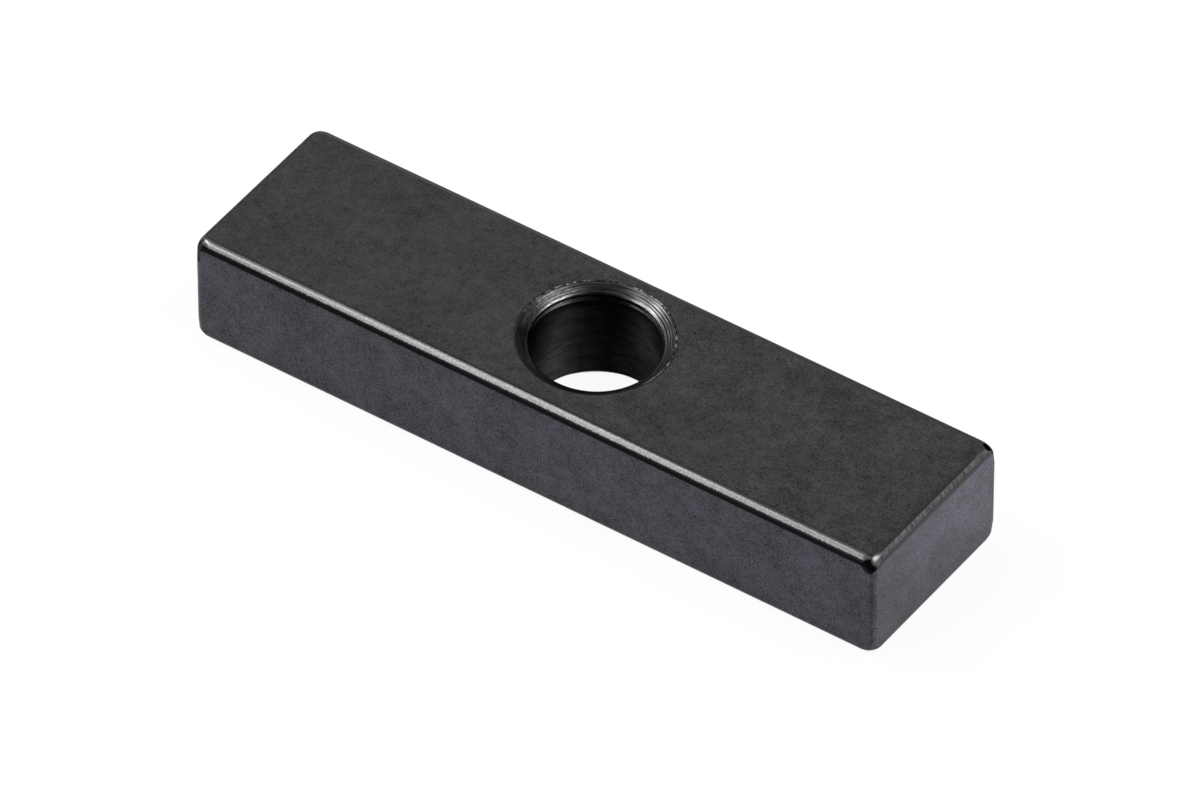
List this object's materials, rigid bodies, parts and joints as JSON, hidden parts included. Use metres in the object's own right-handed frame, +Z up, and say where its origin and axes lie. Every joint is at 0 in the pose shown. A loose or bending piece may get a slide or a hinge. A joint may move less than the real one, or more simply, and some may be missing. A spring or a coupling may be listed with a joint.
{
  "type": "t-slot nut",
  "caption": "Plain rectangular bar nut of dark oxided steel with a countersunk cross bore through its middle, to lie in a slot and take a screw.",
  "frame": {"origin": "middle of the underside, on the plane that the bar lies on", "axes": "+X along the bar, +Y across it towards the side that the bore's axis is set off to, +Z up out of the top face"},
  "size_m": [0.052, 0.0136, 0.008],
  "materials": {
    "black_oxide_steel": "matte black oxide over tumbled steel, burnished along the edges, with a cut countersink and a drilled bore"
  },
  "bodies": {
    "root": {"nut_block": "black_oxide_steel"}
  },
  "joints": []
}
